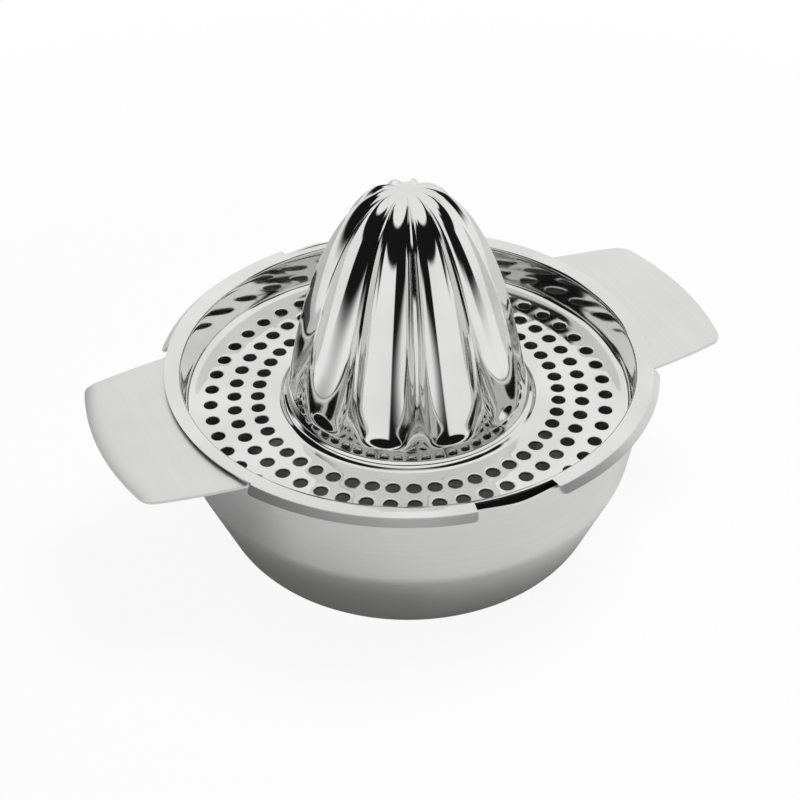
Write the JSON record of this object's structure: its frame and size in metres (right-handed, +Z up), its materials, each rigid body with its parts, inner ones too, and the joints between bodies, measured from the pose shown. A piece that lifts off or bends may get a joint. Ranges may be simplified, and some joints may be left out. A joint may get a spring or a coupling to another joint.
{
  "type": "hand citrus juicer",
  "caption": "Pressed stainless steel citrus juicer: a fluted reamer cone on a perforated strainer pan that lifts out of a juice bowl with two wing handles and pouring lips",
  "frame": {"origin": "on the table under the middle of the bowl, at the bottom centre of the whole part", "axes": "+Z is up along the axis of the bowl and the cone, +X runs along the two wing handles, and the pouring lips face -Y and +Y"},
  "size_m": [0.172, 0.1328, 0.1033],
  "materials": {
    "brushed_steel": "satin stainless steel, brushed round the wall of the bowl and along the wing handles",
    "polished_steel": "mirror-polished stainless steel"
  },
  "bodies": {
    "bowl": {"bowl": "brushed_steel"},
    "insert": {"strainer_pan": "polished_steel", "reamer_cone": "polished_steel"}
  },
  "joints": [
    {"name": "insert_lift", "type": "slide", "parent": "bowl", "child": "insert", "axis": [0, 0, 1], "range_m": [0, 0.08]}
  ]
}
